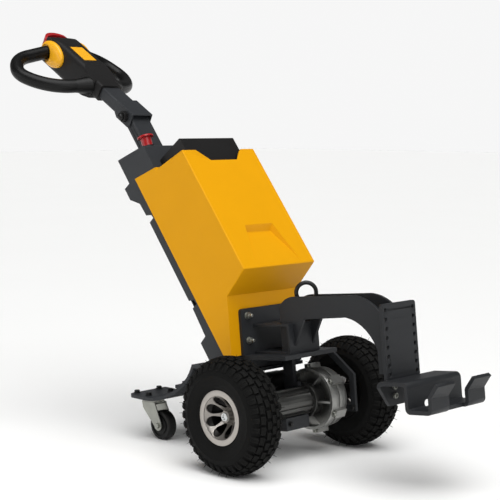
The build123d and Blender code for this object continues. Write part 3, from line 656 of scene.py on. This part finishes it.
def petal_outline():
    """Outline of one petal: two arcs joined by their common tangents."""
    (far, wide), (near, narrow) = PETAL
    touch = math.acos((narrow - wide) / (far - near))
    outline = []
    for at, radius, first, last in ((far, wide, -touch, touch), (near, narrow, touch, math.tau - touch)):
        turns = [first + (last - first) * i / PETAL_STEPS for i in range(PETAL_STEPS + 1)]
        outline += [(at + radius * math.cos(a), radius * math.sin(a)) for a in turns]
    return outline


def rim_model():
    """Whole rim about the origin, its outside towards local +Z, a spoke on the X axis."""
    barrel = modify(lathe(BARREL, 96), "BEVEL", width=1.0 * MM, segments=2, limit_method="ANGLE")
    petals = ring(prism(petal_outline(), *PETAL_CUT), SPOKES, (0, 0, math.tau / SPOKES))
    settle(petals, Matrix.Rotation(math.pi / SPOKES, 4, "Z"))
    spider = cut(lathe(SPIDER, 96), petals)
    modify(spider, "BEVEL", width=0.9 * MM, segments=2, limit_method="ANGLE", angle_limit=math.radians(40))
    return smooth(join([barrel, spider, lathe(HUB, 64)]), 35)


class TOW_OT_rims(bpy.types.Operator):
    """Model the cast rims with their dished spokes"""

    bl_idname = "tow.rims"
    bl_label = "Rims"

    def execute(self, context):
        model = rim_model()
        for (side, sign), piece in zip(SIDES, (copy(model), model)):
            settle(piece, facing((0, sign, 0), WHEEL_AT[side]))
            hand_in(piece, f"spoked_rim_{side}", f"drive_wheel_{side}", "wheel_alloy")
            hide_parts(f"rim_{side}")
        return {"FINISHED"}


class TOW_OT_hubs(bpy.types.Operator):
    """Model the axle nuts in the wheel hubs"""

    bl_idname = "tow.hubs"
    bl_label = "Axle nuts"

    # round nut with a socket, as (radius, height), and its seat on the hub
    nut = ((0, 0), (10, 0), (10, 3.2), (9, 4), (6.5, 4), (5.8, 3.4), (5.6, 1.2), (0, 1.2))
    seat = HUB[0][1] * MM

    def execute(self, context):
        for side, sign in SIDES:
            piece = smooth(lathe(self.nut, 40, closed=False))
            settle(piece, facing((0, sign, 0), WHEEL_AT[side] + Vector((0, self.seat * sign, 0))))
            hand_in(piece, f"axle_nut_{side}", f"drive_wheel_{side}", "bright_steel")
        return {"FINISHED"}


class TOW_OT_wings(bpy.types.Operator):
    """Model the domed throttle wings, each hollowed where the grip enters it"""

    bl_idname = "tow.wings"
    bl_label = "Throttle wings"

    # dome and the hollow round the grip, as (radius, height); the dome is flattened across the arm
    dome = ((0, 0), (50, 0), (50, 5), (49, 7.5), (46, 9.8), (40, 11.8), (30, 13.2), (16, 13.9), (0, 14))
    hollow = ((0, 4.5), (21.5, 4.5), (23, 6), (27, 20), (0, 20))
    flat = 0.66
    # places along the arm and up from it, and the console's half width
    dome_at = (337, -2)
    hollow_at = (357.5, -6)
    console_half = 45

    def execute(self, context):
        along = (tiller(1, 0) - tiller(0, 0)).normalized()
        up = (tiller(0, 1) - tiller(0, 0)).normalized()
        droop = math.radians(DROOP_DEG)
        for side, sign in SIDES:
            out = Vector((0, sign, 0))
            turn = Matrix((along, out.cross(along), out)).transposed().to_4x4()
            place = Matrix.Translation(tiller(*self.dome_at, self.console_half * sign)) @ turn
            piece = settle(lathe(self.dome, 72, closed=False), place @ Matrix.Diagonal((1, self.flat, 1, 1)))
            grip = facing(math.cos(droop) * out - math.sin(droop) * up,
                          tiller(*self.hollow_at, self.console_half * sign))
            cut(piece, settle(lathe(self.hollow, 48, closed=False), grip))
            modify(piece, "BEVEL", width=0.8 * MM, segments=2, limit_method="ANGLE",
                   angle_limit=math.radians(50))
            hand_in(smooth(piece, 40), f"wing_{side}", "tiller", "yellow_plastic")
            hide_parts(f"throttle_{side}")
        return {"FINISHED"}


# Fasteners


def bolt_r():
    """Radius of the bolts in millimetres."""
    return sizes().bolt / MM


def washer(outer, low, high):
    """Flat ring round a bolt: outer radius in bolt radii, heights in millimetres."""
    r = bolt_r()
    return lathe([(r, low), (outer * r, low), (outer * r, high), (r, high)])


def hitch_forward():
    """Direction in which the hitch points."""
    return hitch(1, 0) - hitch(0, 0)


def mount_bolts():
    """Studs with washer, spring washer and nut on the mount plate."""
    r = bolt_r()
    nut = hexagon(1.85 * r, 3.6, 10.0)
    stud = lathe([(0, 0), (r, 0), (r, 17), (r - 1, 18), (0, 18)], 24, closed=False)
    model = smooth(join([washer(2.2, 0, 1.6), washer(1.8, 1.6, 3.6), nut, stud]))
    plate_p = -66
    places = [facing(hitch_forward(), hitch(plate_p, q, y)) for q in (216, 156) for y in (-69.5, 69.5)]
    spread(model, places, "mount_bolt", "chassis", "zinc_steel")


def pad_bolts():
    """Hexagon heads with washers on the caster pads."""
    model = smooth(join([washer(2.2, 0, 1.6), hexagon(1.85 * bolt_r(), 1.6, 6.8)]))
    plate_t = 8 * MM
    along, aside = 22.5 * MM, 37.5 * MM
    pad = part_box("rear_plate")[0].z + plate_t
    places = []
    for name in ("caster_plate_right", "caster_plate_left"):
        low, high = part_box(name)
        mid = (low + high) / 2
        places += [
            Matrix.Translation((mid.x + along * i, mid.y + aside * j, pad)) for i in (1, -1) for j in (1, -1)
        ]
    spread(model, places, "pad_bolt", "chassis", "black_paint")


def bracket_bolts():
    """Socket heads inside the tow bracket's channel, in two rows of the tow plate's holes."""
    profile = ((0, 2), (2.6, 2), (3.2, 6.2), (5.8, 6.2), (6.5, 5.4), (6.5, 0), (0, 0))
    model = smooth(lathe(profile, 32, closed=False))
    channel_p = 351
    places = [facing(hitch_forward(), hitch(channel_p, q, y)) for q in (56, 36) for y in (-48.5, 48.5)]
    spread(model, places, "bracket_bolt", "chassis", "zinc_steel")


def lug_bolts():
    """Socket heads in the lugs round the gear case's split line."""
    profile = ((0, 1), (2, 1), (2.5, 4.6), (4.4, 4.6), (5, 4), (5, 0), (0, 0))
    model = smooth(lathe(profile, 32, closed=False))
    lugs, first_deg = 6, 40
    circle_r, face_y = 79, 64
    turns = [math.radians(first_deg + 360 / lugs * i) for i in range(lugs)]
    places = [
        facing((0, -1, 0), AXLE + MM * Vector((circle_r * math.cos(a), face_y, circle_r * math.sin(a))))
        for a in turns
    ]
    spread(model, places, "lug_bolt", "chassis", "zinc_steel")


def bracket_nuts():
    """Hexagon heads on the clamp foot and on the far bracket bar."""
    model = smooth(join([washer(1.7, 0, 1.4), hexagon(1.4 * bolt_r(), 1.4, 6.0)]))
    places = [facing(hitch_forward(), hitch(28, -44, -46)), facing((0, -1, 0), hitch(78, -29, 126))]
    spread(model, places, "bracket_nut", "chassis", "black_paint")


def pivot_caps():
    """Domed cap nuts on both ends of the tiller's pivot."""
    dome = lathe([(0, 11), (3.5, 10.3), (6.2, 8.2), (7.6, 5.4), (7.6, 0), (0, 0)], 32, closed=False)
    model = smooth(join([hexagon(10.5, 0, 5.4), dome]))
    low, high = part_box("pivot_bolt")
    places = [facing((0, sign, 0), Vector((PIVOT.x, y, PIVOT.z))) for sign, y in ((-1, low.y), (1, high.y))]
    spread(model, places, "pivot_cap", "tiller", "black_paint")


class TOW_OT_bolts(bpy.types.Operator):
    """Model the fasteners once each and copy them to their places"""

    bl_idname = "tow.bolts"
    bl_label = "Fasteners"

    def execute(self, context):
        for make in (mount_bolts, pad_bolts, bracket_bolts, lug_bolts, bracket_nuts, pivot_caps):
            make()
        return {"FINISHED"}


class TOW_OT_stage(bpy.types.Operator):
    """Set the pale floor, the soft studio lights and the camera of the photograph"""

    bl_idname = "tow.stage"
    bl_label = "Stage"

    # name, kind, place, aim, size in metres or angle in degrees, power
    lights = (
        ("sky_panel", "SUN", (1.2, -0.8, 3.6), (0.0, 0.0, 0.3), 60.0, 3.0),
        ("key", "AREA", (3.0, -1.0, 2.2), (0.0, 0.0, 0.45), 1.6, 22.0),
        ("fill", "AREA", (-1.8, -3.2, 1.6), (-0.2, 0.0, 0.5), 2.0, 13.0),
    )
    # world: tone of the paper at the horizon and of the ceiling, sines of the heights between which it fades
    paper = 0.925
    ceiling = 0.1
    fade = (0.1, 0.2)
    floor_size = 60.0
    # the photograph's camera, solved from the machine's own straight edges, its x counted from the axle
    camera_at = (2.1673, -2.3549, 0.8019)
    turn = math.radians(44.5)
    dip = math.radians(5.32)
    lens_mm = 97.46
    sensor_mm = 36.0

    def set_floor(self):
        clear_selection()
        bpy.ops.mesh.primitive_plane_add(size=self.floor_size)
        floor = bpy.context.object
        floor.name = "floor"
        # matt white studio sweep, almost even
        sweep = material("floor_sweep", colours().floor, 0.9, mottle_mm=900, mottle=0.004)
        floor.data.materials.append(sweep)

    def set_lights(self):
        for name, kind, place, aim, size, power in self.lights:
            clear_selection()
            bpy.ops.object.light_add(type=kind, location=place)
            lamp = bpy.context.object
            lamp.name = name
            lamp.data.energy = power
            if kind == "SUN":
                lamp.data.angle = math.radians(size)
            else:
                lamp.data.size = size
            lamp.rotation_euler = (Vector(aim) - Vector(place)).to_track_quat("-Z", "Y").to_euler()

    def set_world(self, scene):
        """White paper all round the horizon, dim ceiling above it."""
        scene.world = bpy.data.worlds.new("studio")
        scene.world.use_nodes = True
        tree = scene.world.node_tree
        tree.nodes.clear()
        look = add(tree, "ShaderNodeTexCoord").outputs["Generated"]
        height = add(tree, "ShaderNodeSeparateXYZ", {"Vector": look}).outputs["Z"]
        tone = add(tree, "ShaderNodeMapRange", {
            "Value": height, "From Min": self.fade[0], "From Max": self.fade[1], "To Min": self.paper,
            "To Max": self.ceiling,
        }, interpolation_type="SMOOTHSTEP")
        back = add(tree, "ShaderNodeBackground", {"Color": (1, 1, 1, 1), "Strength": tone.outputs["Result"]})
        add(tree, "ShaderNodeOutputWorld", {"Surface": back.outputs["Background"]})

    def set_camera(self, scene):
        x, y, z = self.camera_at
        ahead = Vector((
            -math.sin(self.turn) * math.cos(self.dip), math.cos(self.turn) * math.cos(self.dip),
            -math.sin(self.dip),
        ))
        clear_selection()
        bpy.ops.object.camera_add(location=(AXLE.x + x, y, z))
        camera = bpy.context.object
        camera.rotation_euler = ahead.to_track_quat("-Z", "Y").to_euler()
        camera.data.lens = self.lens_mm
        camera.data.sensor_width = self.sensor_mm
        camera.data.dof.use_dof = False
        scene.camera = camera

    def execute(self, context):
        self.set_floor()
        self.set_lights()
        self.set_world(context.scene)
        context.scene.view_settings.view_transform = "Standard"
        self.set_camera(context.scene)
        return {"FINISHED"}


class TOW_PT_panel(bpy.types.Panel):
    """Sidebar panel with the colours, the sizes and the building steps"""

    bl_idname = "TOW_PT_panel"
    bl_label = "Tow tractor"
    bl_space_type = "VIEW_3D"
    bl_region_type = "UI"
    bl_category = "Tow tractor"

    def draw(self, context):
        for group in (context.scene.tow_colours, context.scene.tow_sizes):
            for key in group.__annotations__:
                self.layout.prop(group, key)
        for step in STEPS:
            self.layout.operator(step.bl_idname)


STEPS = (TOW_OT_finish, TOW_OT_tyres, TOW_OT_rims, TOW_OT_hubs, TOW_OT_wings, TOW_OT_bolts, TOW_OT_stage)
CLASSES = (TowColours, TowSizes, *STEPS, TOW_PT_panel)


def register():
    for cls in CLASSES:
        bpy.utils.register_class(cls)
    bpy.types.Scene.tow_colours = bpy.props.PointerProperty(type=TowColours)
    bpy.types.Scene.tow_sizes = bpy.props.PointerProperty(type=TowSizes)


def unregister():
    del bpy.types.Scene.tow_sizes
    del bpy.types.Scene.tow_colours
    for cls in reversed(CLASSES):
        bpy.utils.unregister_class(cls)


def main():
    register()
    for step in STEPS:
        group, name = step.bl_idname.split(".")
        getattr(getattr(bpy.ops, group), name)()


if __name__ == "__main__":
    main()
